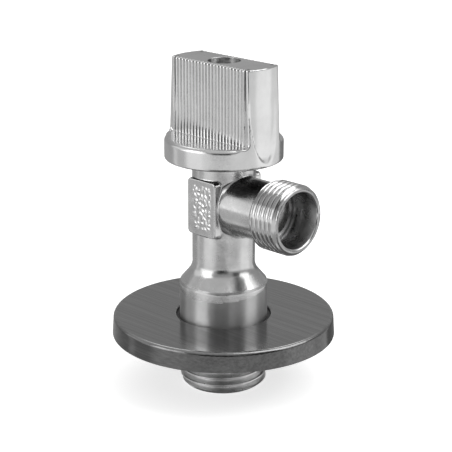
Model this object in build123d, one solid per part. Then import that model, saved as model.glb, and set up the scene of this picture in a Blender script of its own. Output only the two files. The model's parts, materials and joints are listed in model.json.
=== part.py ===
from build123d import *
import os
from math import radians, sqrt, tan

os.makedirs("parts", exist_ok=True)

# Quarter-turn angle valve with a sliding wall escutcheon. Millimetres.
# The origin is the centre of the inlet's end, +Z runs up the stem and +X runs out along the outlet.

# How far a cutting tool runs past the metal it cuts
overshoot = 1.0

# Heights along the stem axis
collar_bottom = 12.4
collar_top = 26.0
cone_top = 29.7
pad_bottom = 38.9
outlet_z = 46.0
pad_top = 52.5
skirt_bottom = 56.7
neck_top = 60.0
ledge_z = 61.9
handle_top = 79.8

# Body, turned on the stem axis
inlet_rim_r = 9.4
collar_r = 10.66
collar_edge = 0.35
undercut_r = 9.2
neck_r = 7.55
inlet_bore_r = 6.9
inlet_bore_depth = 20.0
passage_r = 3.4
drill_point = 3.0

# Pipe threads, 55 degree form: G1/2 on the inlet, G3/8 on the outlet
half_angle = radians(27.5)
depth_per_pitch = 0.640327
inlet_major_r = 10.478
inlet_pitch = 1.814
inlet_first_crest = 2.40
inlet_turns = 5
inlet_lead_in = 0.6
outlet_major_r = 8.331
outlet_pitch = 1.337
outlet_first_crest = 15.99
outlet_turns = 6

# Outlet branch
outlet_end = 23.8
outlet_rim_r = 7.55
tube_r = 7.1
mouth_r = 6.6
mouth_bottom = 16.2
retainer_bore_r = 6.3
retainer_bore_bottom = 8.2
chamber_r = 5.7
chamber_back = -3.3
pocket_r = 4.6
pocket_back = -5.0
relief_back = -5.8

# Wrench pads, one on each side of the ball chamber
pad_half_gap = 7.9
pad_left = -4.3
pad_right = 4.8
pad_corner_r = 1.0

# Ball and seats
ball_r = 5.5
port_r = 3.1
seat_gap = 0.05
rear_seat_gap = 0.02
seat_bore_r = 3.3
seat_front = 3.35
slot_width = 2.0
slot_floor = 3.85

# Seat retainer, screwed in behind the outlet seat
retainer_start = 5.65
retainer_face = 16.1
retainer_socket = 13.9
retainer_socket_r = 5.4
retainer_slot = 1.6
retainer_groove = (6.25, 7.45)
retainer_groove_r = 4.7
retainer_ring_r = 0.46
retainer_ring_gap = 0.03

# Stem and gland
running_gap = 0.06
tang_thick = 1.9
journal_r = 2.85
journal_bore_r = 2.92
tang_relief = 0.1
ledge_stem_z = 52.9
washer_thick = 0.6
shoulder_r = 4.2
shoulder_bore_r = 4.26
shoulder_bottom = 53.55
shoulder_top = 57.35
stem_r = 2.93
gland_bore_r = 5.5
gland_bottom = 58.0
gland_slot = 1.2
gland_slot_depth = 0.9
square_bottom = 60.4
square = 5.0
stem_top = 69.5
stem_chamfer = 0.4
shank_overlap = 0.2
tapped_r = 1.65
tapped_depth = 8.0
o_ring_heights = (54.6, 56.3)
o_ring_section_r = 0.46
o_ring_pitch_r = 3.76
o_ring_groove_r = 3.27
o_ring_groove_half = 0.5

# Handle
skirt_r = 14.1
skirt_edge = 0.4
cavity_r = 12.4
cavity_roof = 60.6
shoulder_drop = 0.9
shoulder_rise = 1.2
end_r_low = 13.7
end_r_top = 13.35
slab_half = 5.1
foot_r = 1.85
rib_r = 0.36
rib_pitch = 1.0
rib_count = 21
rib_sunk = 0.12
screw_hole_r = 3.85
screw_floor = 74.4
screw_clearance_r = 2.2
socket_top = 70.0
socket_gap = 0.05
pocket_inner_x = 5.6
pocket_outer_x = 11.2
pocket_half = 3.4
pocket_top = 77.4

# Handle screw, M4 cheese head with a spring washer
screw_r = 2.0
screw_in_stem_r = 1.6
screw_tip = 63.8
head_r = 3.5
head_top = 78.3
head_height = 2.6
spring_washer_r = 3.35
recess_width = 0.95
recess_length = 4.6
recess_depth = 1.7
recess_angles = (20, 110)
screw_chamfer = 0.5
thread_relief = 0.2
washer_gap = 0.1
washer_split = 0.4
washer_split_angle = 30

# Quarter-turn stops under the skirt
stop_top = 59.9
stop_bottom = 57.5
stop_r = 10.0
stop_span = 16.0
lug_r = 8.3
lug_span = 20.0
lug_centre = 225.0
lug_gap = 2.0
lug_root = 0.4
lug_lift = 0.1
quarter_turn = 90.0

# Escutcheon, pressed from sheet
esc_top = 17.8
esc_rim = 13.0
esc_sheet = 0.6
esc_top_r = 26.85
esc_rim_r = 27.1
esc_hole_r = 11.4
esc_neck_bottom = 15.6
esc_round = 0.9
esc_hole_round = 0.7
grip_gap = 0.02
grip_inner_r = 10.71
grip_bottom = 15.0
grip_top = 17.0


def turned(points):
    """Solid turned about the stem axis from (radius, height) points."""
    return revolve(Plane.XZ * Polygon(*points, align=None), Axis.Z)


def turned_on_outlet(points):
    """Solid turned about the outlet axis from (distance along X, radius) points."""
    return Pos(0, 0, outlet_z) * revolve(Plane.XZ * Polygon(*points, align=None), Axis.X)


def ring(inner_r, outer_r, bottom, top):
    """Plain ring about the stem axis."""
    return turned([(inner_r, bottom), (outer_r, bottom), (outer_r, top), (inner_r, top)])


def rod(radius, bottom, top):
    """Round bar on the stem axis."""
    return Pos(0, 0, (bottom + top) / 2) * Cylinder(radius, top - bottom)


def outlet_rod(radius, start, end):
    """Round bar on the outlet axis."""
    return Pos((start + end) / 2, 0, outlet_z) * Rot(0, 90, 0) * Cylinder(radius, end - start)


def block(low, high):
    """Rectangular block between two opposite corners."""
    size = [b - a for a, b in zip(low, high)]
    middle = [(a + b) / 2 for a, b in zip(low, high)]
    return Pos(*middle) * Box(*size)


def thread_outline(first_crest, pitch, turns, major_r):
    """(distance, radius) corners of a row of thread crests, each followed by its groove."""
    flat = pitch / 6
    root_r = major_r - depth_per_pitch * pitch
    flank = (major_r - root_r) * tan(half_angle)
    points = []
    for turn in range(turns):
        start = first_crest + turn * pitch
        points.append((start, major_r))
        points.append((start + flat, major_r))
        if turn < turns - 1:
            points.append((start + flat + flank, root_r))
            points.append((start + 2 * flat + flank, root_r))
    return points


def sector(inner_r, outer_r, bottom, top, centre, span):
    """Part of a ring about the stem axis, as wide as its span in degrees about its centre."""
    corners = [(inner_r, bottom), (outer_r, bottom), (outer_r, top), (inner_r, top)]
    profile = Polygon(*corners, align=None)
    return Rot(0, 0, centre - span / 2) * revolve(Plane.XZ * profile, Axis.Z, span)


def wrench_pad(side):
    """Flat raised pad on one side of the body."""
    width = pad_right - pad_left
    height = pad_top - pad_bottom
    outline = RectangleRounded(width, height, pad_corner_r)
    middle = ((pad_left + pad_right) / 2, 0, (pad_bottom + pad_top) / 2)
    return extrude(Plane(middle, x_dir=(1, 0, 0), z_dir=(0, side, 0)) * outline, pad_half_gap)


def body_outside():
    """Forged outside: inlet thread, collar, cone, neck, wrench pads and outlet branch."""
    inlet_root_r = inlet_major_r - depth_per_pitch * inlet_pitch
    lead_r = inlet_rim_r + inlet_lead_in
    lead_flank = (lead_r - inlet_root_r) * tan(half_angle)
    thread_flank = (inlet_major_r - inlet_root_r) * tan(half_angle)
    inlet_crests = thread_outline(inlet_first_crest, inlet_pitch, inlet_turns, inlet_major_r)
    crests = [(radius, height) for height, radius in inlet_crests]
    thread_end = crests[-1][1]
    stem_side = turned(
        [(0, 0), (inlet_rim_r, 0), (lead_r, inlet_lead_in)]
        + [(inlet_root_r, inlet_lead_in + lead_flank), (inlet_root_r, inlet_first_crest - thread_flank)]
        + crests
        + [(undercut_r, thread_end + inlet_major_r - undercut_r), (undercut_r, collar_bottom)]
        + [(collar_r - collar_edge, collar_bottom), (collar_r, collar_bottom + collar_edge)]
        + [(collar_r, collar_top), (neck_r, cone_top)]
        + [(neck_r, neck_top - collar_edge), (neck_r - collar_edge, neck_top), (0, neck_top)]
    )
    outlet_crests = thread_outline(outlet_first_crest, outlet_pitch, outlet_turns, outlet_major_r)
    thread_back = outlet_first_crest - (outlet_major_r - tube_r) * tan(half_angle)
    branch = turned_on_outlet(
        [(0, 0), (0, tube_r), (thread_back, tube_r)]
        + outlet_crests
        + [(outlet_end, outlet_rim_r), (outlet_end, 0)]
    )
    outside = stem_side + branch + wrench_pad(1) + wrench_pad(-1)
    swing = (quarter_turn + lug_span + stop_span) / 2 + lug_gap
    closing_middle = lug_centre - quarter_turn / 2
    for side in (1, -1):
        centre = closing_middle + side * swing
        outside += sector(neck_r - overshoot, stop_r, stop_bottom, stop_top, centre, stop_span)
    return outside


def make_valve_body():
    """Body with the inlet bore, the ball chamber, the seat pockets and the stem bores cut into it."""
    body = body_outside()
    body -= turned(
        [(0, -overshoot), (inlet_bore_r, -overshoot), (inlet_bore_r, inlet_bore_depth)]
        + [(passage_r, inlet_bore_depth + drill_point), (passage_r, outlet_z), (0, outlet_z)]
    )
    body -= outlet_rod(mouth_r, mouth_bottom, outlet_end + overshoot)
    body -= outlet_rod(retainer_bore_r, retainer_bore_bottom, outlet_end)
    body -= outlet_rod(chamber_r, chamber_back, outlet_end)
    body -= outlet_rod(pocket_r, pocket_back, outlet_end)
    body -= outlet_rod(seat_bore_r, relief_back, outlet_end)
    body -= rod(journal_bore_r, outlet_z, neck_top)
    body -= rod(shoulder_bore_r, ledge_stem_z, neck_top)
    body -= rod(gland_bore_r, gland_bottom, neck_top + overshoot)
    return body


def make_ball():
    """Ball with an elbow port, and a slot across its top for the stem."""
    ball = Sphere(ball_r)
    ball -= Sphere(port_r)
    ball -= Pos(0, 0, -ball_r / 2) * Cylinder(port_r, ball_r)
    ball -= Pos(ball_r / 2, 0, 0) * Rot(0, 90, 0) * Cylinder(port_r, ball_r)
    ball -= block((-slot_width / 2, -ball_r, slot_floor), (slot_width / 2, ball_r, ball_r))
    return Pos(0, 0, outlet_z) * ball


def make_seat(outer_r, start, end, side):
    """Seal ring on the outlet axis, hollowed to the ball's shape on the side that faces it."""
    cup_r = ball_r + seat_gap
    lip = (start, sqrt(cup_r**2 - start**2))
    throat = (sqrt(cup_r**2 - seat_bore_r**2), seat_bore_r)
    with BuildSketch(Plane.XZ) as section:
        with BuildLine():
            RadiusArc(throat, lip, -cup_r)
            Polyline(lip, (start, outer_r), (end, outer_r), (end, seat_bore_r), throat)
        make_face()
    seat = revolve(section.sketch, Axis.X)
    return Pos(0, 0, outlet_z) * Rot(0, 90 - 90 * side, 0) * seat


def make_seat_retainer():
    """Ring that screws in behind the outlet seat, with two slots across its face for a driver."""
    nose_r = chamber_r - seat_gap
    outer_r = retainer_bore_r - seat_gap
    groove_start, groove_end = retainer_groove
    retainer = turned_on_outlet(
        [(retainer_start, seat_bore_r), (retainer_start, nose_r), (groove_start, nose_r)]
        + [(groove_start, retainer_groove_r), (groove_end, retainer_groove_r), (groove_end, nose_r)]
        + [(retainer_bore_bottom + seat_gap, nose_r), (retainer_bore_bottom + seat_gap, outer_r)]
        + [(retainer_face, outer_r), (retainer_face, retainer_socket_r)]
        + [(retainer_socket, retainer_socket_r - collar_edge), (retainer_socket, seat_bore_r)]
    )
    half = retainer_slot / 2
    low = (retainer_face - retainer_slot, -half, outlet_z - outer_r)
    high = (retainer_face + overshoot, half, outlet_z + outer_r)
    return retainer - block(low, high)


def make_retainer_o_ring():
    """O-ring in the retainer's groove."""
    middle = sum(retainer_groove) / 2
    centre_r = chamber_r - retainer_ring_r - retainer_ring_gap
    section = Plane.XZ * Pos(middle, centre_r) * Circle(retainer_ring_r)
    return Pos(0, 0, outlet_z) * revolve(section, Axis.X)


def make_stem():
    """Stem with the ball's tang, the gland shoulder with two O-ring grooves, and the handle's square."""
    groove_points = []
    for height in o_ring_heights:
        low = height - o_ring_groove_half
        high = height + o_ring_groove_half
        groove_points += [(shoulder_r, low), (o_ring_groove_r, low)]
        groove_points += [(o_ring_groove_r, high), (shoulder_r, high)]
    stem_bottom = outlet_z + slot_floor + seat_gap
    stem = turned(
        [(0, stem_bottom), (journal_r, stem_bottom)]
        + [(journal_r, shoulder_bottom), (shoulder_r, shoulder_bottom)]
        + groove_points
        + [(shoulder_r, shoulder_top), (stem_r, shoulder_top), (stem_r, square_bottom), (0, square_bottom)]
    )
    tang_top = outlet_z + ball_r + tang_relief
    reach = journal_r + overshoot
    for side in (1, -1):
        low_x, high_x = sorted((side * tang_thick / 2, side * reach))
        stem -= block((low_x, -reach, outlet_z), (high_x, reach, tang_top))
    half = square / 2
    shank = block((-half, -half, square_bottom - shank_overlap), (half, half, stem_top))
    shank &= turned(
        [(0, square_bottom - overshoot), (stem_r, square_bottom - overshoot)]
        + [(stem_r, stem_top - stem_chamfer), (stem_r - stem_chamfer, stem_top), (0, stem_top)]
    )
    stem += shank
    return stem - rod(tapped_r, stem_top - tapped_depth, stem_top + overshoot)


def make_stem_o_ring(height):
    """O-ring in one of the stem's two grooves."""
    section = Plane.XZ * Pos(o_ring_pitch_r, height) * Circle(o_ring_section_r)
    return revolve(section, Axis.Z)


def make_gland_nut():
    """Slotted ring nut that holds the stem down."""
    nut = ring(stem_r + running_gap, gland_bore_r - seat_gap, gland_bottom, neck_top)
    low = (-gland_bore_r, -gland_slot / 2, neck_top - gland_slot_depth)
    high = (gland_bore_r, gland_slot / 2, neck_top + overshoot)
    return nut - block(low, high)


def handle_side_outline():
    """Handle seen along X: a slab whose foot curves out on to the skirt's ledge."""
    centre_y = slab_half + foot_r
    centre_z = ledge_z + foot_r
    reach = skirt_r + overshoot
    with BuildSketch(Plane.YZ) as outline:
        with BuildLine():
            Polyline((0, handle_top), (slab_half, handle_top), (slab_half, centre_z))
            CenterArc((centre_y, centre_z), foot_r, 180, 90)
            Polyline((centre_y, ledge_z), (reach, ledge_z), (reach, skirt_bottom))
            Polyline((reach, skirt_bottom), (0, skirt_bottom), (0, handle_top))
        make_face()
        mirror(about=Plane.YZ)
    return outline.sketch


def rib_comb(side):
    """Grip ribs of one face, which run down the slab, round its foot and out over the ledge."""
    first = -rib_pitch * (rib_count - 1) / 2
    centre_y = slab_half - rib_sunk
    turn_r = slab_half + foot_r - centre_y
    turn_y = slab_half + foot_r
    turn_z = ledge_z + foot_r
    comb = Sketch()
    for rib in range(rib_count):
        comb += Pos(first + rib * rib_pitch, 0) * Circle(rib_r)
    upright = extrude(Pos(0, centre_y, turn_z) * comb, handle_top - turn_z)
    bend = revolve(Pos(0, centre_y, turn_z) * comb, Axis((0, turn_y, turn_z), (1, 0, 0)), 90)
    flat_plane = Plane((0, turn_y, turn_z - turn_r), x_dir=(1, 0, 0), z_dir=(0, 1, 0))
    flat = extrude(flat_plane * comb, skirt_r - turn_y)
    ribs = upright + bend + flat
    return ribs if side > 0 else Rot(0, 0, 180) * ribs


def handle_limits():
    """Solid of revolution that bounds the handle: skirt, rounded shoulder and drafted ends."""
    return turned(
        [(0, skirt_bottom), (skirt_r - skirt_edge, skirt_bottom), (skirt_r, skirt_bottom + skirt_edge)]
        + [(skirt_r, ledge_z - shoulder_drop), (end_r_low, ledge_z + shoulder_rise)]
        + [(end_r_top, handle_top), (0, handle_top)]
    )


def make_handle():
    """Die-cast handle: round skirt, ribbed slab, square socket and screw recess."""
    limits = handle_limits()
    handle = extrude(handle_side_outline(), skirt_r + overshoot, both=True) & limits
    handle += rib_comb(1) & limits
    handle += rib_comb(-1) & limits
    handle -= rod(cavity_r, skirt_bottom - overshoot, cavity_roof)
    handle -= rod(screw_hole_r, screw_floor, handle_top + overshoot)
    handle -= rod(screw_clearance_r, socket_top - overshoot, screw_floor + overshoot)
    half = square / 2 + socket_gap
    handle -= block((-half, -half, cavity_roof - overshoot), (half, half, socket_top))
    for side in (1, -1):
        low_x, high_x = sorted((side * pocket_inner_x, side * pocket_outer_x))
        handle -= block((low_x, -pocket_half, cavity_roof - overshoot), (high_x, pocket_half, pocket_top))
    lug_outer_r = cavity_r + lug_root
    lug_bottom = stop_bottom + lug_lift
    return handle + sector(lug_r, lug_outer_r, lug_bottom, cavity_roof + lug_root, lug_centre, lug_span)


def make_handle_screw():
    """M4 cheese-head screw with a cross recess."""
    head_bottom = head_top - head_height
    shank_bottom = stem_top + thread_relief
    shank_step = screw_r - screw_in_stem_r
    screw = turned(
        [(0, screw_tip), (screw_in_stem_r - screw_chamfer, screw_tip)]
        + [(screw_in_stem_r, screw_tip + screw_chamfer), (screw_in_stem_r, shank_bottom)]
        + [(screw_r, shank_bottom + shank_step), (screw_r, head_bottom), (head_r, head_bottom)]
        + [(head_r, head_top - screw_chamfer), (head_r - screw_chamfer, head_top), (0, head_top)]
    )
    half_length = recess_length / 2
    half_width = recess_width / 2
    low = (-half_length, -half_width, head_top - recess_depth)
    high = (half_length, half_width, head_top + overshoot)
    for angle in recess_angles:
        screw -= Rot(0, 0, angle) * block(low, high)
    return screw


def make_screw_washer():
    """Spring washer with its split."""
    head_bottom = head_top - head_height
    washer = ring(screw_r + washer_gap, spring_washer_r, screw_floor, head_bottom)
    low = (0, -washer_split / 2, screw_floor)
    high = (spring_washer_r + overshoot, washer_split / 2, head_bottom)
    return washer - Rot(0, 0, washer_split_angle) * block(low, high)


def make_escutcheon():
    """Pressed wall cover: rounded top edge, flared rim, and a neck turned down around the collar."""
    inner_top = esc_top - esc_sheet
    neck_outer_r = esc_hole_r + esc_sheet
    edge = (esc_top_r - esc_round, esc_top - esc_round)
    hole_edge = (esc_hole_r + esc_hole_round, esc_top - esc_hole_round)
    with BuildSketch(Plane.XZ) as section:
        with BuildLine():
            Polyline((esc_rim_r - esc_sheet, esc_rim), (esc_rim_r, esc_rim), (esc_top_r, edge[1]))
            CenterArc(edge, esc_round, 0, 90)
            Line((edge[0], esc_top), (hole_edge[0], esc_top))
            CenterArc(hole_edge, esc_hole_round, 90, 90)
            Polyline((esc_hole_r, hole_edge[1]), (esc_hole_r, esc_neck_bottom))
            Line((esc_hole_r, esc_neck_bottom), (neck_outer_r, esc_neck_bottom))
            Polyline((neck_outer_r, esc_neck_bottom), (neck_outer_r, inner_top), (edge[0], inner_top))
            CenterArc(edge, esc_round - esc_sheet, 90, -90)
            Line((esc_top_r - esc_sheet, edge[1]), (esc_rim_r - esc_sheet, esc_rim))
        make_face()
    return revolve(section.sketch, Axis.Z)


def make_grip_ring():
    """Rubber ring inside the escutcheon's neck, which grips the collar."""
    return ring(grip_inner_r, esc_hole_r - grip_gap, grip_bottom, grip_top)


lower_o_ring, upper_o_ring = o_ring_heights
pieces = {
    "valve_body": make_valve_body(),
    "ball": make_ball(),
    "outlet_seat": make_seat(chamber_r - seat_gap, seat_front, retainer_start, 1),
    "rear_seat": make_seat(pocket_r - seat_gap, seat_front, -pocket_back - rear_seat_gap, -1),
    "seat_retainer": make_seat_retainer(),
    "retainer_o_ring": make_retainer_o_ring(),
    "stem": make_stem(),
    "lower_thrust_washer": ring(journal_r + 0.06, shoulder_r, ledge_stem_z, ledge_stem_z + washer_thick),
    "stem_o_ring_lower": make_stem_o_ring(lower_o_ring),
    "stem_o_ring_upper": make_stem_o_ring(upper_o_ring),
    "upper_thrust_washer": ring(stem_r + 0.06, shoulder_r, gland_bottom - washer_thick, gland_bottom),
    "gland_nut": make_gland_nut(),
    "handle": make_handle(),
    "handle_screw": make_handle_screw(),
    "screw_spring_washer": make_screw_washer(),
    "escutcheon": make_escutcheon(),
    "escutcheon_grip_ring": make_grip_ring(),
}

for name, piece in pieces.items():
    export_step(piece, f"parts/{name}.step")
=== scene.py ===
import json
import math

import bmesh
import bpy
import numpy as np
from mathutils import Matrix, Vector


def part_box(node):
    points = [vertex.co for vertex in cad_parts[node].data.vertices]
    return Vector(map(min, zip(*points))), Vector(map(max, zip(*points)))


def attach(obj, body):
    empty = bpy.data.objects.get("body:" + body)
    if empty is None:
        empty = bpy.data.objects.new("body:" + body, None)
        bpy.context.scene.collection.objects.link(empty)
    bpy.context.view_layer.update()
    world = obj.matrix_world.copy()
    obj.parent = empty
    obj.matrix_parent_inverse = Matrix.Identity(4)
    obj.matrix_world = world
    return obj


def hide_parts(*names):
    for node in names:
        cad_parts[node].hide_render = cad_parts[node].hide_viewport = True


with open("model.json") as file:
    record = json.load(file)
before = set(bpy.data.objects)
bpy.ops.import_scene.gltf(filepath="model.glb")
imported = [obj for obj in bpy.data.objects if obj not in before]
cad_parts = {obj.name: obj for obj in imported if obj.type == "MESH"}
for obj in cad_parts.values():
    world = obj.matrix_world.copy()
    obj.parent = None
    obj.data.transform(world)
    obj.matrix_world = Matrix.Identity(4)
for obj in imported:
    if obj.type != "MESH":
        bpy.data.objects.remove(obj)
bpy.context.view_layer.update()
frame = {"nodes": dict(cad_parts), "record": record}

# Shapes are worked out in millimetres, as in the CAD, and written to Blender in metres.
MM = 0.001


def node_box(node):
    """Lowest and highest corner of a CAD node, in millimetres."""
    low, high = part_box(node)
    return np.array(low) / MM, np.array(high) / MM


mounts = {mount["name"]: mount for mount in frame["record"]["mounts"]}

# Places and sizes that the frame gives
outlet_end, collar_r, neck_top = node_box("valve_body")[1]
handle_low, handle_high = node_box("handle")
screw_low, screw_high = node_box("handle_screw")
washer_low, washer_high = node_box("screw_spring_washer")
outlet_z = mounts["outlet_thread"]["pos_m"][2] / MM
pad_half_gap = -mounts["wrench_flat_front"]["pos_m"][1] / MM
inlet_major_r = mounts["inlet_thread"]["dims"]["r_mm"]
outlet_major_r = mounts["outlet_thread"]["dims"]["r_mm"]
skirt_r = handle_high[0]
skirt_bottom = handle_low[2]
handle_top = handle_high[2]
screw_floor = washer_low[2]
head_r, head_top = screw_high[0], screw_high[2]
head_bottom = washer_high[2]
screw_tip = screw_low[2]

# Cutters stand this far past the surface that they open
overshoot = 1.0

# Body, outside
collar_bottom, collar_top, collar_edge_r = 12.4, 26.0, 0.25
cone_top = 29.7
neck_r, neck_fillet_r, end_edge_r = 7.55, 0.9, 0.35
tube_r, tube_fillet_r = 7.1, 0.8
pad_left, pad_right = -4.3, 4.8
pad_bottom, pad_top = 38.9, 52.5
pad_corner_r, pad_edge_r, pad_fillet_r = 1.0, 0.3, 0.3
stop_bottom, stop_top, stop_r = 57.5, 59.9, 10.0
stop_centres, stop_span = (115.0, 245.0), 16.0

# The collar's turned band: how high it goes, and how far that falls towards +X and towards +Y,
# where a number below 0 means that it rises
turned_top, turned_lean = 25.1, (0.46, -1.35)

# Raised strokes on the front pad: their place, spacing and size
strokes_left, strokes_right = -2.5, 3.2
strokes_bottom, strokes_top = 40.5, 50.9
stroke_gap, stroke_height = 1.15, 0.28
stroke_long, stroke_short = 0.85, 0.36

# Body, inside
inlet_bore_r, inlet_bore_depth, inlet_chamfer = 6.9, 20.0, 0.3
passage_r, drill_point = 3.4, 3.0
mouth_r, mouth_bottom, mouth_chamfer = 6.6, 16.2, 0.3
retainer_bore_r, retainer_bore_bottom = 6.3, 8.2
chamber_r, chamber_back = 5.7, -3.3
pocket_r, pocket_back = 4.6, -5.0
relief_r, relief_back = 3.3, -5.8
journal_bore_r = 2.92
shoulder_bore_r, shoulder_bore_bottom = 4.26, 52.9
gland_bore_r, gland_bottom = 5.5, 58.0

# Pipe threads: pitch, and depth for a 55 degree form
inlet_pitch, outlet_pitch = 1.814, 1.337
depth_per_pitch = 0.640327
inlet_thread_end = 9.96
outlet_thread_start, outlet_runout = 15.7, 0.6
inlet_rim_r, inlet_undercut_r = 9.4, 9.2
outlet_rim_r = 7.55

# The threaded bars run on inside the forged shape, to be joined with it
inlet_bar_top = collar_bottom + 3
outlet_bar_start, outlet_bar_r = 10.0, tube_r - 0.25

# Handle, outside
ledge_z, rim_r, skirt_edge_r = 61.85, 1.0, 0.45
slab_half, foot_r, end_foot_r, corner_r = 5.1, 0.06, 1.2, 0.35
end_r_top = 13.3
panel_half, panel_sunk = 11.33, 0.32
rib_pitch, rib_count, rib_r, rib_sunk = 1.03, 22, 0.52, 0.2
rib_top_r, end_top_r = 0.36, 0.18
groove_depth, groove_half, groove_bottom, groove_top = 0.75, 0.36, 64.0, 76.0
facet_half, facet_bottom, facet_top, facet_sunk = 5.0, 57.6, 70.0, 0.26
facet_edge, facet_edge_softer = 0.3, 2.4  # width of its crisp edge, and how much wider the soft one is

# Handle, inside
cavity_r, cavity_roof, cavity_round, cavity_chamfer = 12.4, 60.6, 0.6, 0.2
screw_hole_r, screw_hole_round, screw_hole_chamfer = 3.85, 0.15, 0.08
screw_clearance_r, screw_clearance_bottom = 2.2, 69.0
socket_half, socket_top = 2.55, 70.0
pocket_inner_x, pocket_outer_x, pocket_half, pocket_top = 5.6, 11.2, 3.4, 77.4
lug_r, lug_half, lug_centre, lug_lift, lug_root = 8.3, 1.45, 225.0, 0.1, 0.4

# Handle screw
shank_r, shank_bottom = 2.0, 70.1
screw_core_r, screw_core_top, screw_chamfer = 1.6, 69.7, 0.5
cross_half_length, cross_half_width, cross_depth = 2.3, 0.475, 1.7
cross_angles = (20, 110)


# ---------------------------------------------------------------- meshes

def add_piece(name, points, faces):
    """Mesh object from points in millimetres and faces as lists of point numbers."""
    mesh = bpy.data.meshes.new(name)
    mesh.from_pydata((np.asarray(points, float) * MM).tolist(), [], faces)
    mesh.validate()
    piece = bpy.data.objects.new(name, mesh)
    bpy.context.scene.collection.objects.link(piece)
    return piece


def clean(piece, merge=2e-7):
    """Joins points that fall together, closes open ends, and turns every face outward."""
    made = bmesh.new()
    made.from_mesh(piece.data)
    bmesh.ops.remove_doubles(made, verts=made.verts, dist=merge)
    bmesh.ops.dissolve_degenerate(made, edges=made.edges, dist=merge)
    open_edges = [edge for edge in made.edges if edge.is_boundary]
    if open_edges:
        bmesh.ops.holes_fill(made, edges=open_edges)
    bmesh.ops.recalc_face_normals(made, faces=made.faces)
    made.to_mesh(piece.data)
    made.free()
    return piece


def shade(piece, sharp_degrees=50):
    """Smooth shading, kept sharp where faces meet at a steeper angle."""
    piece.data.shade_smooth()
    piece.data.set_sharp_from_angle(angle=math.radians(sharp_degrees))
    return piece


def turned(name, outline, steps=144):
    """Closed solid turned about Z from a closed (radius, height) outline."""
    angles = np.arange(steps) * math.tau / steps
    points = [
        (radius * math.cos(a), radius * math.sin(a), height) for a in angles for radius, height in outline
    ]
    count = len(outline)
    faces = []
    for i in range(steps):
        here, after = i * count, (i + 1) % steps * count
        for j in range(count):
            k = (j + 1) % count
            if outline[j][0] > 0 or outline[k][0] > 0:
                faces.append((here + j, after + j, after + k, here + k))
    return clean(add_piece(name, points, faces))


def box_solid(name, low, high, turn=0.0):
    """Block between two corners, turned about Z by some degrees."""
    x0, y0, z0 = low
    x1, y1, z1 = high
    points = np.array([(x, y, z) for z in (z0, z1) for x, y in ((x0, y0), (x1, y0), (x1, y1), (x0, y1))])
    c, s = math.cos(math.radians(turn)), math.sin(math.radians(turn))
    points[:, :2] = points[:, :2] @ np.array([[c, s], [-s, c]])
    faces = [(3, 2, 1, 0), (4, 5, 6, 7)] + [(i, (i + 1) % 4, (i + 1) % 4 + 4, i + 4) for i in range(4)]
    return add_piece(name, points, faces)


def aim_along_outlet(piece):
    """Lays a solid made about Z along the outlet's axis: its Z becomes X."""
    piece.data.transform(Matrix.Translation((0, 0, outlet_z * MM)) @ Matrix.Rotation(math.pi / 2, 4, "Y"))
    return piece


def combine(piece, other, operation):
    """Boolean of two closed meshes, with the result kept in the first."""
    step = piece.modifiers.new("combine", "BOOLEAN")
    step.operation = operation
    step.solver = "MANIFOLD"
    step.object = other
    bpy.context.view_layer.update()
    result = bpy.data.meshes.new_from_object(piece.evaluated_get(bpy.context.evaluated_depsgraph_get()))
    piece.modifiers.clear()
    piece.data = result
    bpy.data.objects.remove(other)


def threaded_bar(name, rim_r, major_r, core_r, pitch, thread_end, end):
    """Round bar from Z = 0 with a right-hand 55 degree thread.

    It is chamfered at its free end, Z = 0, and the thread dies out at thread_end.
    """
    root_r = major_r - depth_per_pitch * pitch
    steps, per_turn = 112, 14
    turns = int(math.ceil(end / pitch)) + 1
    angle = np.arange(steps + 1)[:, None] * math.tau / steps
    row = np.arange(per_turn * turns + 1)[None, :]
    height = np.clip(pitch * (row / per_turn - 1 + angle / math.tau), 0, end)
    phase = (height / pitch - angle / math.tau) % 1.0
    # 0 on the crest and 1 in the root, which are each a sixth of the pitch wide
    from_crest = np.abs(phase - 0.5) * 2
    ramp = np.clip((5 / 6 - from_crest) / (2 / 3), 0, 1)
    thread = root_r + (major_r - root_r) * (0.6 * ramp + 0.4 * ease(ramp, 0, 1))
    free_end = rim_r + height
    runout = major_r - np.maximum(height - thread_end, 0)
    radius = np.maximum(np.minimum(np.minimum(thread, free_end), runout), core_r)
    radius = np.where(height > thread_end + major_r - core_r, core_r, radius)
    points = np.stack([radius * np.cos(angle), radius * np.sin(angle), height], -1).reshape(-1, 3)
    columns = per_turn * turns + 1
    faces = [
        (i * columns + j, (i + 1) * columns + j, (i + 1) * columns + j + 1, i * columns + j + 1)
        for i in range(steps)
        for j in range(columns - 1)
    ]
    return clean(add_piece(name, points, faces))


# ---------------------------------------------------------------- shapes from distance fields

def join_round(a, b, radius):
    """Union of two distance fields with a concave fillet."""
    reach = np.hypot(np.maximum(radius - a, 0), np.maximum(radius - b, 0))
    return np.maximum(radius, np.minimum(a, b)) - reach


def meet_round(a, b, radius):
    """Overlap of two distance fields with its edge rounded."""
    reach = np.hypot(np.maximum(radius + a, 0), np.maximum(radius + b, 0))
    return np.minimum(-radius, np.maximum(a, b)) + reach


def ease(value, start, end):
    """0 before start and 1 after end, with a smooth step between."""
    t = np.clip((value - start) / (end - start), 0, 1)
    return t * t * (3 - 2 * t)


def stations(*stretches):
    """Grid lines from (start, end, step) stretches that follow each other."""
    lines = [np.linspace(a, b, int(round((b - a) / step)), endpoint=False) for a, b, step in stretches]
    return np.concatenate(lines + [[stretches[-1][1]]])


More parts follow.
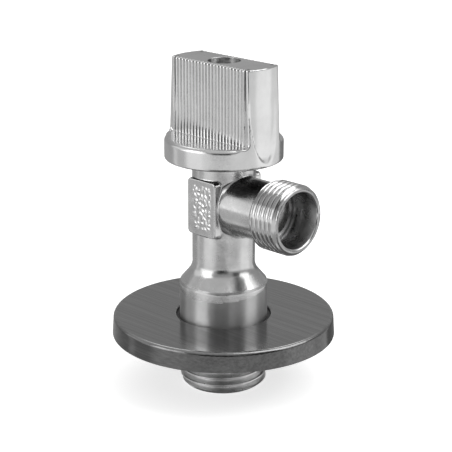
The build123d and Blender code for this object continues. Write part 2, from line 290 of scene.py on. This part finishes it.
def settle(field, points, rounds=5, reach=0.12, probe=1e-3):
    """Moves points on to the surface where the field is zero, along the field's slope."""
    for _ in range(rounds):
        x, y, z = points.T
        value = field(x, y, z)
        slope = np.stack([
            field(x + probe, y, z) - field(x - probe, y, z),
            field(x, y + probe, z) - field(x, y - probe, z),
            field(x, y, z + probe) - field(x, y, z - probe),
        ], -1) / (2 * probe)
        move = -value[:, None] * slope / np.maximum((slope * slope).sum(1, keepdims=True), 0.05)
        length = np.linalg.norm(move, axis=1, keepdims=True)
        points = points + move * np.minimum(1, reach / np.maximum(length, 1e-9))
    return points


def skin(name, field, x_lines, y_lines, z_lines):
    """Closed mesh of the surface where the field is zero: one point in each grid cell that it crosses."""
    grid = (x_lines, y_lines, z_lines)
    value = field(x_lines[:, None, None], y_lines[None, :, None], z_lines[None, None, :])
    cells = np.array([len(lines) - 1 for lines in grid])
    total, hits, quads = np.zeros((cells.prod(), 3)), np.zeros(cells.prod()), []
    for axis in range(3):
        # Every place where a grid line along this axis crosses the surface
        ahead = [slice(None)] * 3
        behind = [slice(None)] * 3
        ahead[axis], behind[axis] = slice(1, None), slice(None, -1)
        first, second = value[tuple(behind)], value[tuple(ahead)]
        at = np.argwhere((first < 0) != (second < 0))
        v0, v1 = first[tuple(at.T)], second[tuple(at.T)]
        point = np.stack([grid[k][at[:, k]] for k in range(3)], -1)
        span = np.diff(grid[axis])[at[:, axis]]
        point[:, axis] += span * v0 / (v0 - v1)
        # It counts towards the point of each of the four cells around it, and makes a face between them
        u, w = (axis + 1) % 3, (axis + 2) % 3
        corners = []
        for du, dw in ((0, 0), (1, 0), (1, 1), (0, 1)):
            cell = at.copy()
            cell[:, u] -= du
            cell[:, w] -= dw
            index = np.ravel_multi_index(cell.T, cells)
            for k in range(3):
                total[:, k] += np.bincount(index, point[:, k], len(total))
            hits += np.bincount(index, minlength=len(hits))
            corners.append(index)
        quad = np.stack(corners, -1)
        quad[v0 >= 0] = quad[v0 >= 0, ::-1]
        quads.append(quad)
    used = np.flatnonzero(hits)
    number = np.full(len(hits), -1)
    number[used] = np.arange(len(used))
    points = settle(field, total[used] / hits[used, None])
    return add_piece(name, points, number[np.concatenate(quads)].tolist())


# ---------------------------------------------------------------- valve body

def stroke_relief(x, z):
    """Height of a field of short forged strokes, each a little off its place and turned at random."""
    best = 0.0
    u, w = np.floor(x / stroke_gap), np.floor(z / stroke_gap)
    for du in (-1, 0, 1):
        for dw in (-1, 0, 1):
            # Two numbers from 0 to 1 that look random and belong to this cell
            i, j = u + du, w + dw
            mix = np.sin(i * 12.9898 + j * 78.233) * 43758.5453
            mix = mix - np.floor(mix)
            twist = np.sin(i * 39.346 + j * 11.135) * 24634.6345
            twist = twist - np.floor(twist)
            across = x - stroke_gap * (i + 0.2 + 0.6 * mix)
            up = z - stroke_gap * (j + 0.2 + 0.6 * twist)
            c, s = np.cos(math.pi * (mix + twist)), np.sin(math.pi * (mix + twist))
            away = ((across * c + up * s) / stroke_long) ** 2 + ((up * c - across * s) / stroke_short) ** 2
            best = np.maximum(best, (0.6 + 0.4 * mix) * np.clip(1 - away, 0, 1) ** 1.5)
    inside = ease(x, strokes_left - 0.2, strokes_left + 0.2)
    inside = inside * (1 - ease(x, strokes_right - 0.2, strokes_right + 0.2))
    inside = inside * ease(z, strokes_bottom - 0.3, strokes_bottom + 0.3)
    inside = inside * (1 - ease(z, strokes_top - 0.3, strokes_top + 0.3))
    return stroke_height * best * inside


def body_field(x, y, z):
    """Distance to the forged and turned outside, without threads or bores."""
    r = np.hypot(x, y)
    slant = math.hypot(cone_top - collar_top, collar_r - neck_r)
    cone = ((r - collar_r) * (cone_top - collar_top) + (z - collar_top) * (collar_r - neck_r)) / slant
    collar = meet_round(r - collar_r, cone, collar_edge_r)
    shape = join_round(r - neck_r, collar, neck_fillet_r)
    tube = np.maximum(np.maximum(np.hypot(y, z - outlet_z) - tube_r, x - outlet_thread_start), -x)
    shape = join_round(shape, tube, tube_fillet_r)
    across = np.abs(y) - pad_half_gap - np.where(y < 0, stroke_relief(x, z), 0)
    sides = np.abs(x - (pad_left + pad_right) / 2) - (pad_right - pad_left) / 2
    ends = np.abs(z - (pad_bottom + pad_top) / 2) - (pad_top - pad_bottom) / 2
    pad = meet_round(meet_round(sides, ends, pad_corner_r), across, pad_edge_r)
    shape = join_round(shape, pad, pad_fillet_r)
    for centre in stop_centres:
        c, s = math.cos(math.radians(centre)), math.sin(math.radians(centre))
        half_width = stop_r * math.sin(math.radians(stop_span / 2))
        stop = np.maximum(np.abs(y * c - x * s) - half_width, -(x * c + y * s))
        stop = np.maximum(np.maximum(stop, r - stop_r), np.maximum(stop_bottom - z, z - stop_top))
        shape = np.minimum(shape, stop)
    return meet_round(meet_round(shape, collar_bottom - z, end_edge_r), z - neck_top, end_edge_r)


def forged_outside():
    """Skin of the body's distance field, on a grid that is finest at the pads."""
    reach = 1.2
    pad_outside, pad_inside = pad_half_gap + 0.30, pad_half_gap - 0.05
    x_lines = stations(
        (-collar_r - reach, pad_left - 1, 0.32),
        (pad_left - 1, pad_right + 2, 0.18),
        (pad_right + 2, outlet_thread_start + reach, 0.32),
    )
    y_lines = stations(
        (-collar_r - reach, -pad_outside, 0.3),
        (-pad_outside, -pad_inside, 0.3),
        (-pad_inside, collar_r + reach, 0.27),
    )
    z_lines = stations(
        (collar_bottom - reach, pad_bottom - 1, 0.3),
        (pad_bottom - 1, pad_top + 1, 0.18),
        (pad_top + 1, neck_top + reach, 0.32),
    )
    return skin("forged_body", body_field, x_lines, y_lines, z_lines)


def make_body():
    """Forged outside with both threads joined on and every bore cut."""
    body = forged_outside()
    inlet = threaded_bar(
        "inlet_bar", inlet_rim_r, inlet_major_r, inlet_undercut_r, inlet_pitch,
        inlet_thread_end, inlet_bar_top,
    )
    combine(body, inlet, "UNION")
    outlet = threaded_bar(
        "outlet_bar", outlet_rim_r, outlet_major_r, outlet_bar_r, outlet_pitch,
        outlet_end - outlet_thread_start - outlet_runout, outlet_end - outlet_bar_start,
    )
    # The bar's free end is turned round to face outwards
    outlet.data.transform(Matrix.Translation((0, 0, outlet_end * MM)) @ Matrix.Rotation(math.pi, 4, "X"))
    combine(body, aim_along_outlet(outlet), "UNION")
    combine(body, turned("inlet_bore", [
        (0, -overshoot), (inlet_bore_r + inlet_chamfer, -overshoot), (inlet_bore_r + inlet_chamfer, 0),
        (inlet_bore_r, inlet_chamfer), (inlet_bore_r, inlet_bore_depth),
        (passage_r, inlet_bore_depth + drill_point), (passage_r, outlet_z), (0, outlet_z),
    ]), "DIFFERENCE")
    combine(body, aim_along_outlet(turned("outlet_bore", [
        (0, relief_back), (relief_r, relief_back), (relief_r, pocket_back),
        (pocket_r, pocket_back), (pocket_r, chamber_back),
        (chamber_r, chamber_back), (chamber_r, retainer_bore_bottom),
        (retainer_bore_r, retainer_bore_bottom), (retainer_bore_r, mouth_bottom),
        (mouth_r, mouth_bottom), (mouth_r, outlet_end - mouth_chamfer),
        (mouth_r + mouth_chamfer, outlet_end), (mouth_r + mouth_chamfer, outlet_end + overshoot),
        (0, outlet_end + overshoot),
    ])), "DIFFERENCE")
    combine(body, turned("stem_bore", [
        (0, outlet_z), (journal_bore_r, outlet_z), (journal_bore_r, shoulder_bore_bottom),
        (shoulder_bore_r, shoulder_bore_bottom), (shoulder_bore_r, gland_bottom),
        (gland_bore_r, gland_bottom), (gland_bore_r, neck_top + overshoot), (0, neck_top + overshoot),
    ]), "DIFFERENCE")
    return shade(body)


# ---------------------------------------------------------------- handle

def rib_height(x):
    """How far the grip ribs stand off the face at a distance x from the handle's middle."""
    off = x - (np.floor(x / rib_pitch) + 0.5) * rib_pitch
    proud = np.sqrt(np.maximum(rib_r**2 - off**2, 0)) - rib_sunk
    return np.where(np.abs(x) < rib_count / 2 * rib_pitch, np.maximum(proud, 0), 0)


def facet_depth(y, z, side):
    """How far a shallow facet sinks into the handle's end, on the +X side (1) or the -X side (-1).

    It starts in a point low on the skirt, widens upwards in an arc, and fades out above
    facet_top. One of its edges is crisp and the other is softer.
    """
    narrowing = np.clip((facet_top - z) / (facet_top - facet_bottom), 0, 1)
    edge = facet_edge + facet_edge_softer * ease(y * side, -1.0, 1.5)
    across = ease(facet_half * np.sqrt(1 - narrowing**2) - np.abs(y), 0, edge)
    facet = across * ease(z, facet_bottom - 0.4, facet_bottom + 2.2)
    return facet_sunk * facet * (1 - ease(z, facet_top, facet_top + 6))


def handle_field(x, y, z):
    """Distance to the handle's outside: skirt, slab, ribbed panels and drafted ends."""
    r = np.hypot(x, y)
    far = np.abs(x)

    def past_panel(start, end):
        """Smooth step between two distances past the ribbed panel's edge."""
        return ease(far, panel_half + start, panel_half + end)

    fade = ease(z, groove_bottom, groove_top)
    groove = groove_depth * np.clip(1 - np.abs(far - panel_half) / groove_half, 0, 1) * fade
    sunk = panel_sunk * (1 - past_panel(0, 0.2))
    face = np.abs(y) - slab_half - rib_height(x) + sunk + groove
    foot = foot_r + (end_foot_r - foot_r) * past_panel(0.6, 1.7)
    shape = join_round(face, z - ledge_z, foot)
    end_r = end_r_top + (skirt_r - end_r_top) * (handle_top - z) / (handle_top - ledge_z)
    wall = np.minimum(end_r, skirt_r) - facet_depth(y, z, np.sign(x))
    rim = rim_r * (1 - ease(z, ledge_z + 0.5, ledge_z + 2)) * (1 - past_panel(0, 1.4))
    shape = meet_round(shape, r - wall, np.maximum(corner_r, rim))
    top_r = rib_top_r - (rib_top_r - end_top_r) * past_panel(0, 0.5)
    shape = meet_round(shape, z - handle_top, top_r)
    return meet_round(shape, skirt_bottom - z, skirt_edge_r)


def handle_outside():
    """Skin of the handle's distance field, on a grid that is finest across the ribs."""
    reach, ribs_half = 1.0, 11.8
    x_lines = stations(
        (-skirt_r - reach, -ribs_half, 0.26),
        (-ribs_half, ribs_half, 0.125),
        (ribs_half, skirt_r + reach, 0.26),
    )
    y_lines = stations((-skirt_r - reach, skirt_r + reach, 0.26))
    z_lines = stations(
        (skirt_bottom - reach, ledge_z - 1, 0.3),
        (ledge_z - 1, ledge_z + 3, 0.16),
        (ledge_z + 3, handle_top - 0.8, 0.34),
        (handle_top - 0.8, handle_top + reach, 0.16),
    )
    return skin("ribbed_handle", handle_field, x_lines, y_lines, z_lines)


def make_handle():
    """Handle with its skirt hollow, square socket, pockets, screw recess and stop lug."""
    handle = handle_outside()
    combine(handle, turned("skirt_hollow", [
        (0, skirt_bottom - overshoot), (cavity_r + cavity_chamfer, skirt_bottom - overshoot),
        (cavity_r + cavity_chamfer, skirt_bottom), (cavity_r, skirt_bottom + cavity_chamfer),
        (cavity_r, cavity_roof - cavity_round), (cavity_r - cavity_round, cavity_roof), (0, cavity_roof),
    ]), "DIFFERENCE")
    rim = screw_hole_r + screw_hole_chamfer
    combine(handle, turned("screw_recess", [
        (0, screw_floor), (screw_hole_r - screw_hole_round, screw_floor),
        (screw_hole_r, screw_floor + screw_hole_round), (screw_hole_r, handle_top - screw_hole_chamfer),
        (rim, handle_top), (rim, handle_top + overshoot), (0, handle_top + overshoot),
    ]), "DIFFERENCE")
    combine(handle, turned("screw_clearance", [
        (0, screw_clearance_bottom), (screw_clearance_r, screw_clearance_bottom),
        (screw_clearance_r, screw_floor + overshoot), (0, screw_floor + overshoot),
    ]), "DIFFERENCE")
    mouth = cavity_roof - overshoot
    socket_low, socket_high = (-socket_half, -socket_half, mouth), (socket_half, socket_half, socket_top)
    combine(handle, box_solid("square_socket", socket_low, socket_high), "DIFFERENCE")
    for low_x, high_x in ((-pocket_outer_x, -pocket_inner_x), (pocket_inner_x, pocket_outer_x)):
        pocket = box_solid("pocket", (low_x, -pocket_half, mouth), (high_x, pocket_half, pocket_top))
        combine(handle, pocket, "DIFFERENCE")
    lug_low = (lug_r, -lug_half, stop_bottom + lug_lift)
    lug_high = (cavity_r + lug_root, lug_half, cavity_roof + lug_root)
    combine(handle, box_solid("lug", lug_low, lug_high, lug_centre), "UNION")
    return shade(handle)


def make_screw():
    """Cheese-head screw with a cross recess."""
    screw = turned("cross_recess_screw", [
        (0, screw_tip), (screw_core_r - screw_chamfer, screw_tip), (screw_core_r, screw_tip + screw_chamfer),
        (screw_core_r, screw_core_top), (shank_r, shank_bottom), (shank_r, head_bottom),
        (head_r - 0.1, head_bottom), (head_r, head_bottom + 0.1), (head_r, head_top - 0.55),
        (head_r - 0.12, head_top - 0.25), (head_r - 0.45, head_top - 0.06),
        (head_r - 0.9, head_top), (0, head_top),
    ], 96)
    low = (-cross_half_length, -cross_half_width, head_top - cross_depth)
    high = (cross_half_length, cross_half_width, head_top + overshoot)
    for angle in cross_angles:
        combine(screw, box_solid("recess", low, high, angle), "DIFFERENCE")
    return shade(screw, 35)


# ---------------------------------------------------------------- materials

class Nodes:
    """A new material and short ways to add and join its nodes."""

    def __init__(self, name):
        self.material = bpy.data.materials.new(name)
        self.material.use_nodes = True
        self.tree = self.material.node_tree
        self.shader = self.tree.nodes["Principled BSDF"]
        self.place = self.add("ShaderNodeTexCoord").outputs["Object"]

    def add(self, kind, **values):
        node = self.tree.nodes.new(kind)
        for key, value in values.items():
            setattr(node, key, value)
        return node

    def join(self, source, target):
        self.tree.links.new(source, target)

    def noise(self, size_mm, stretch=(1, 1, 1), detail=4.0, roughness=0.55):
        """Noise whose blobs are about size_mm across, stretched along the axes."""
        mapping = self.add("ShaderNodeMapping")
        mapping.inputs["Scale"].default_value = [1 / (MM * size_mm * s) for s in stretch]
        self.join(self.place, mapping.inputs["Vector"])
        noise = self.add("ShaderNodeTexNoise")
        noise.inputs["Scale"].default_value = 1.0
        noise.inputs["Detail"].default_value = detail
        noise.inputs["Roughness"].default_value = roughness
        self.join(mapping.outputs["Vector"], noise.inputs["Vector"])
        return noise.outputs["Fac"]

    def spread(self, source, low, high, from_low=0.3, from_high=0.7):
        """Maps a 0 to 1 pattern to a range of values."""
        node = self.add("ShaderNodeMapRange")
        node.inputs["From Min"].default_value = from_low
        node.inputs["From Max"].default_value = from_high
        node.inputs["To Min"].default_value = low
        node.inputs["To Max"].default_value = high
        self.join(source, node.inputs["Value"])
        return node.outputs["Result"]

    def blend(self, factor, a, b):
        """Mixes two colours by a pattern."""
        node = self.add("ShaderNodeMix", data_type="RGBA")
        self.join(factor, node.inputs["Factor"])
        for colour, socket in ((a, node.inputs["A"]), (b, node.inputs["B"])):
            if isinstance(colour, tuple):
                socket.default_value = (*colour, 1)
            else:
                self.join(colour, socket)
        return node.outputs["Result"]

    def bump(self, height, strength, distance_mm, under=None):
        """Normal that stands for a relief, laid over another one if there is one under it."""
        node = self.add("ShaderNodeBump")
        node.inputs["Strength"].default_value = strength
        node.inputs["Distance"].default_value = distance_mm * MM
        self.join(height, node.inputs["Height"])
        if under is not None:
            self.join(under, node.inputs["Normal"])
        return node.outputs["Normal"]


def greys(dark, light):
    """Two neutral colours."""
    return (dark,) * 3, (light,) * 3


def metal(
    name, colours, rough, patch_mm=6.0, patch_stretch=(1, 1, 1), painted_shade_sides=None,
    grain_mm=0.35, grain_stretch=(1, 1, 1), grain_bump=0.05, swell=None, anisotropy=0.0,
):
    """Metal with patches between two colours, uneven roughness and a fine grain.

    Upright faces take the side colours, where these are given, as painted shade. A swell, as (size in mm,
    strength), is a slower waviness under the grain. Anisotropy draws the gloss out across the turned marks.
    """
    n = Nodes(name)
    n.shader.inputs["Metallic"].default_value = 1.0
    tone = n.spread(n.noise(patch_mm, patch_stretch, detail=6), 0, 1)
    colour = n.blend(tone, *colours)
    # Upright faces get the side colours: painted shade
    if painted_shade_sides:
        upward = n.add("ShaderNodeSeparateXYZ")
        n.join(n.add("ShaderNodeTexCoord").outputs["Normal"], upward.inputs["Vector"])
        colour = n.blend(n.spread(upward.outputs["Z"], 0, 1, 0.3, 0.8), n.blend(tone, *painted_shade_sides), colour)
    n.join(colour, n.shader.inputs["Base Color"])
    fine = n.noise(grain_mm, grain_stretch, detail=3)
    smudge = n.noise(patch_mm * 0.6, detail=5, roughness=0.65)
    roughness = n.add("ShaderNodeMath", operation="ADD")
    n.join(n.spread(smudge, *rough), roughness.inputs[0])
    n.join(n.spread(fine, -0.02, 0.03), roughness.inputs[1])
    n.join(roughness.outputs["Value"], n.shader.inputs["Roughness"])
    normal = None
    if swell:
        swell_mm, swell_strength = swell
        normal = n.bump(n.noise(swell_mm, detail=2), swell_strength, 0.1)
    n.join(n.bump(fine, grain_bump, 0.05, normal), n.shader.inputs["Normal"])
    if anisotropy:
        n.shader.inputs["Anisotropic"].default_value = anisotropy
        n.shader.inputs["Anisotropic Rotation"].default_value = 0.25
        around = n.add("ShaderNodeTangent", direction_type="RADIAL", axis="Z")
        n.join(around.outputs["Tangent"], n.shader.inputs["Tangent"])
    return n.material


def plain(name, colours, rough, patch_mm=1.5):
    """Rubber or plastic with mottled colour and a fine grain."""
    n = Nodes(name)
    patches = n.noise(patch_mm, detail=5)
    n.join(n.blend(n.spread(patches, 0, 1), *colours), n.shader.inputs["Base Color"])
    n.join(n.spread(n.noise(patch_mm * 0.5), *rough), n.shader.inputs["Roughness"])
    n.join(n.bump(n.noise(0.12, detail=3), 0.2, 0.03), n.shader.inputs["Normal"])
    return n.material


chrome = metal(
    "handle_chrome", greys(0.64, 0.74), (0.12, 0.22), patch_mm=9.0,
    grain_mm=0.5, grain_bump=0.03, swell=(3.0, 0.05),
)
# Painted shade: near-black mottled plate for the screw's recess and the grooves by the ribs, where shade
# falls
recess_painted_shade = metal(
    "recess_painted_shade", greys(0.05, 0.30), (0.22, 0.40), patch_mm=1.1,
    grain_mm=0.3, grain_bump=0.3, swell=(0.9, 0.4),
)
# Bare zinc inside the handle, made much darker than zinc: partly its own colour, partly painted shade of the
# hollow
raw_zinc_painted_shade = metal("raw_zinc_painted_shade", greys(0.10, 0.17), (0.45, 0.6), patch_mm=2.0, grain_mm=0.3, grain_bump=0.2)
forged = metal(
    "forged_plate", greys(0.52, 0.68), (0.15, 0.30), patch_mm=5.0,
    grain_mm=0.45, grain_stretch=(1, 1, 0.5), grain_bump=0.16, swell=(1.6, 0.16),
)
machined = metal(
    "machined_plate", greys(0.47, 0.60), (0.34, 0.42),
    grain_mm=0.9, grain_stretch=(3, 3, 0.07), grain_bump=0.15, anisotropy=1.0,
)
threaded = metal("threaded_plate", greys(0.56, 0.70), (0.08, 0.16), patch_mm=3.0, grain_mm=0.3)
cut_thread = metal(
    "cut_thread_plate", greys(0.54, 0.70), (0.26, 0.36), patch_mm=2.0, grain_mm=0.3, grain_bump=0.12,
)
bore = metal(
    "bored_plate", greys(0.30, 0.42), (0.22, 0.36), patch_mm=4.0,
    grain_mm=0.7, grain_stretch=(0.3, 3, 3), grain_bump=0.08,
)
# The escutcheon's upright rim is painted far darker than its top: painted shade
steel = metal(
    "satin_steel", greys(0.27, 0.38), (0.10, 0.18), patch_stretch=(8, 0.10, 0.08),
    painted_shade_sides=greys(0.105, 0.165), grain_mm=0.5, grain_stretch=(14, 0.35, 1), grain_bump=0.10,
)
screw_metal = metal(
    "screw_steel", greys(0.34, 0.66), (0.26, 0.44), patch_mm=1.0,
    grain_mm=0.2, grain_bump=0.3, swell=(0.7, 0.5),
)
brass = metal("gland_brass", ((0.62, 0.44, 0.20), (0.78, 0.58, 0.30)), (0.20, 0.34), patch_mm=3.0)
# Paler than the other plating: partly the retainer's own bright plate, partly painted light for the light
# falling into the outlet's bore
retainer_painted_light = metal(
    "retainer_plate", greys(0.82, 0.94), (0.19, 0.28), patch_mm=3.0,
    grain_mm=0.6, grain_stretch=(0.2, 3, 3), grain_bump=0.10,
)
ball_chrome = metal("ball_chrome", greys(0.74, 0.84), (0.05, 0.10), patch_mm=3.0)
ptfe = plain("ptfe", ((0.80, 0.79, 0.76), (0.88, 0.87, 0.85)), (0.35, 0.50))
rubber = plain("black_rubber", ((0.010, 0.010, 0.010), (0.030, 0.030, 0.032)), (0.45, 0.65))


def paint(piece, *materials):
    """Gives a piece its materials in order, in place of what it had."""
    piece.data.materials.clear()
    for material in materials:
        piece.data.materials.append(material)


def face_centres(piece):
    """X, Y and Z of the middle of every face, in millimetres."""
    centres = np.empty(len(piece.data.polygons) * 3)
    piece.data.polygons.foreach_get("center", centres)
    return (centres.reshape(-1, 3) / MM).T


def paint_faces(piece, everywhere, *areas):
    """One material all over, then others on their own faces. A later area covers an earlier one."""
    paint(piece, everywhere, *[material for material, faces in areas])
    slots = np.zeros(len(piece.data.polygons), int)
    for number, (material, faces) in enumerate(areas, 1):
        slots[faces] = number
    piece.data.polygons.foreach_set("material_index", slots)
    piece.data.update()


def paint_body(body):
    """Turned collar, threads, bores and forged skin, each by where its faces lie."""
    x, y, z = face_centres(body)
    r, branch_r = np.hypot(x, y), np.hypot(y, z - outlet_z)
    near, neck_inside_r, clear_of_neck = 0.05, 6.4, 7.9
    turned_edge = turned_top - (turned_lean[0] * x + turned_lean[1] * y) / collar_r
    turned_band = (z < turned_edge) & (r > collar_r - 0.5)
    edge_band = (np.abs(z - collar_top) < collar_edge_r + near) & (r > collar_r - collar_edge_r - near)
    inlet_thread = z < collar_bottom + near
    outlet_thread = (x > outlet_thread_start) & (branch_r > mouth_r + 0.1)
    inlet_bore = (r < inlet_bore_r + near) & (z < outlet_z - 5)
    in_neck = (np.abs(z - outlet_z) < 7) & (r < neck_inside_r)
    outlet_bore = (x > relief_back - 0.2) & (branch_r < mouth_r + near) & (in_neck | (x > clear_of_neck))
    paint_faces(
        body, forged,
        (machined, turned_band | edge_band), (threaded, outlet_thread),
        (cut_thread, inlet_thread), (bore, inlet_bore | outlet_bore),
    )


def paint_handle(handle):
    """Chrome outside, bare zinc inside made dark as painted shade, and painted shade in the screw's recess
    and the grooves by the ribs.
    """
    x, y, z = face_centres(handle)
    r, side, far = np.hypot(x, y), np.abs(y), np.abs(x)
    pockets_r, recess_top, painted_shade_groove_bottom = 11.9, handle_top - 0.12, 70.5
    # The hollow and the sockets take the dark zinc, which paints their shade
    hollow = (r < cavity_r + 0.05) & (z < cavity_roof + 0.1)
    sockets = (r < pockets_r) & (side < pocket_half + 0.1) & (z < pocket_top + 0.1)
    recess = (r < screw_hole_r + 0.05) & (z > screw_floor - 0.1) & (z < recess_top)
    # The grooves by the ribs are painted dark above this height, as painted shade
    groove = (np.abs(far - panel_half) < groove_half) & (z > painted_shade_groove_bottom)
    groove = groove & (side > pocket_half + 0.2) & (side < slab_half - panel_sunk - 0.1)
    paint_faces(handle, chrome, (raw_zinc_painted_shade, hollow | sockets), (recess_painted_shade, recess | groove))


# ---------------------------------------------------------------- the pieces

body = make_body()
paint_body(body)
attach(body, "body")
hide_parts("valve_body")

handle = make_handle()
paint_handle(handle)
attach(handle, "handle_assembly")
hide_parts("handle")

screw = make_screw()
paint(screw, screw_metal)
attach(screw, "handle_assembly")
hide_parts("handle_screw")

finishes = {
    "escutcheon": steel,
    "escutcheon_grip_ring": rubber,
    "retainer_o_ring": rubber,
    "stem_o_ring_lower": rubber,
    "stem_o_ring_upper": rubber,
    "ball": ball_chrome,
    "outlet_seat": ptfe,
    "rear_seat": ptfe,
    "lower_thrust_washer": ptfe,
    "upper_thrust_washer": ptfe,
    "seat_retainer": retainer_painted_light,
    "stem": brass,
    "gland_nut": brass,
    "screw_spring_washer": screw_metal,
}
for node, material in finishes.items():
    paint(frame["nodes"][node], material)


# ---------------------------------------------------------------- studio

def look_from(azimuth, elevation, distance, target, roll=0.0):
    """Matrix of a camera or light that looks at target, in metres. Azimuth 0 looks along +Y."""
    a, e = math.radians(azimuth), math.radians(elevation)
    back = Vector((math.sin(a) * math.cos(e), -math.cos(a) * math.cos(e), math.sin(e)))
    turn = back.to_track_quat("Z", "Y").to_matrix().to_4x4()
    place = Matrix.Translation(Vector(target) + back * distance)
    return place @ turn @ Matrix.Rotation(math.radians(roll), 4, "Z")


camera_azimuth, camera_elevation, camera_roll = 44.13, 17.79, 0.19
camera_distance, camera_target = 0.3456, (0.00039, 0.00038, 0.03953)
camera_data = bpy.data.cameras.new("camera")
camera_data.lens = 114.81
camera_data.sensor_width = 36.0
camera = bpy.data.objects.new("camera", camera_data)
camera.matrix_world = look_from(camera_azimuth, camera_elevation, camera_distance, camera_target, camera_roll)
bpy.context.scene.collection.objects.link(camera)
bpy.context.scene.camera = camera


def softbox(name, azimuth, elevation, distance, width, height, watts):
    """Rectangular area light that looks at the object's middle. Azimuths are counted from the camera's."""
    object_middle = (0, 0, 0.045)
    data = bpy.data.lights.new(name, "AREA")
    data.shape = "RECTANGLE"
    data.size, data.size_y = width, height
    data.energy = watts
    light = bpy.data.objects.new(name, data)
    light.matrix_world = look_from(camera_azimuth + azimuth, elevation, distance, object_middle)
    bpy.context.scene.collection.objects.link(light)


softbox("left_softbox", -60, 21, 0.75, 0.42, 0.40, 1.0)
softbox("right_softbox", 78, 30, 0.75, 0.45, 0.50, 1.2)
softbox("top_softbox", 62, 60, 0.80, 0.50, 0.50, 1.0)
softbox("back_softbox", 178, 52, 0.95, 0.8, 0.25, 0.9)


def make_floor():
    """Plain pale floor that runs out of sight. The metal mirrors the room instead of it."""
    half = 3000
    corners = [(-half, -half, 0), (half, -half, 0), (half, half, 0), (-half, half, 0)]
    floor = add_piece("floor", corners, [(0, 1, 2, 3)])
    n = Nodes("pale_floor")
    n.join(n.blend(n.spread(n.noise(180, detail=2), 0, 1), *greys(0.86, 0.89)), n.shader.inputs["Base Color"])
    n.join(n.spread(n.noise(40), 0.75, 0.85), n.shader.inputs["Roughness"])
    n.shader.inputs["Specular IOR Level"].default_value = 0.1
    n.shader.inputs["Emission Color"].default_value = (1, 1, 1, 1)
    n.shader.inputs["Emission Strength"].default_value = 0.6
    paint(floor, n.material)
    floor.visible_glossy = False


class Sky:
    """The room around the object, built from soft-edged patches placed by azimuth and elevation."""

    def __init__(self, brightness):
        world = bpy.data.worlds.new("room")
        bpy.context.scene.world = world
        world.use_nodes = True
        self.tree = world.node_tree
        self.background = self.tree.nodes["Background"]
        place = self.tree.nodes.new("ShaderNodeTexCoord").outputs["Generated"]
        split = self.tree.nodes.new("ShaderNodeSeparateXYZ")
        self.tree.links.new(place, split.inputs["Vector"])
        front = self.math("MULTIPLY", split.outputs["Y"], -1.0)
        self.azimuth = self.math("ARCTAN2", split.outputs["X"], front)
        self.elevation = self.math("ARCSINE", split.outputs["Z"])
        self.light = brightness

    def math(self, operation, *values):
        """Result of a math node on numbers and sockets."""
        node = self.tree.nodes.new("ShaderNodeMath")
        node.operation = operation
        for socket, value in zip(node.inputs, values):
            if isinstance(value, bpy.types.NodeSocket):
                self.tree.links.new(value, socket)
            else:
                socket.default_value = value
        return node.outputs["Value"]

    def within(self, value, middle, half, soft, wrap=False):
        """1 where an angle is within half of middle, in degrees, with a soft edge."""
        off = self.math("SUBTRACT", value, math.radians(middle))
        if wrap:
            off = self.math("WRAP", off, math.pi, -math.pi)
        off = self.math("ABSOLUTE", off)
        node = self.tree.nodes.new("ShaderNodeMapRange")
        node.interpolation_type = "SMOOTHSTEP"
        node.inputs["From Min"].default_value = math.radians(half + soft / 2)
        node.inputs["From Max"].default_value = math.radians(half - soft / 2)
        self.tree.links.new(off, node.inputs["Value"])
        return node.outputs["Result"]

    def patch(self, brightness, azimuth=None, elevation=None):
        """Paints a brightness over what is there, where both (middle, half, soft edge) ranges hold."""
        change = self.math("SUBTRACT", brightness, self.light)
        if azimuth:
            middle, half, soft = azimuth
            inside = self.within(self.azimuth, camera_azimuth + middle, half, soft, wrap=True)
            change = self.math("MULTIPLY", change, inside)
        if elevation:
            change = self.math("MULTIPLY", change, self.within(self.elevation, *elevation))
        self.light = self.math("ADD", self.light, change)

    def finish(self):
        self.tree.links.new(self.light, self.background.inputs["Strength"])
        self.background.inputs["Color"].default_value = (1, 1, 1, 1)


def make_world():
    """Studio room. Azimuths are counted from the camera's, and upright faces mirror elevation -18."""
    lower_half = (-90, 88, 6)
    sky = Sky(0.38)
    sky.patch(0.60, elevation=(90, 56, 14))
    sky.patch(1.3, azimuth=(106, 6, 4), elevation=(38, 14, 8))
    sky.patch(0.84, azimuth=(10, 124, 8), elevation=lower_half)
    sky.patch(0.42, azimuth=(-146, 34, 12), elevation=lower_half)
    sky.patch(0.20, azimuth=(158, 24, 10), elevation=lower_half)
    sky.patch(0.55, azimuth=(-90, 12, 6), elevation=(-18, 18, 8))
    sky.patch(0.96, azimuth=(-58, 16, 6), elevation=(-18, 14, 8))
    sky.patch(1.12, azimuth=(86, 20, 8), elevation=(-18, 14, 8))
    sky.patch(0.40, azimuth=(32, 22, 5), elevation=(-34, 12, 4))
    sky.patch(0.06, azimuth=(-10, 20, 5), elevation=(-33, 12, 4))
    sky.patch(0.12, elevation=(-90, 46, 8))
    sky.patch(1.6, azimuth=(-62, 26, 8), elevation=(4, 10, 6))
    sky.patch(0.06, azimuth=(48, 16, 8), elevation=(18, 10, 6))
    sky.patch(0.9, azimuth=(-98, 18, 8), elevation=(16, 14, 8))
    sky.patch(0.02, azimuth=(-5, 19, 4), elevation=(2, 13, 5))
    sky.finish()


make_floor()
make_world()
bpy.context.scene.view_settings.view_transform = "Standard"
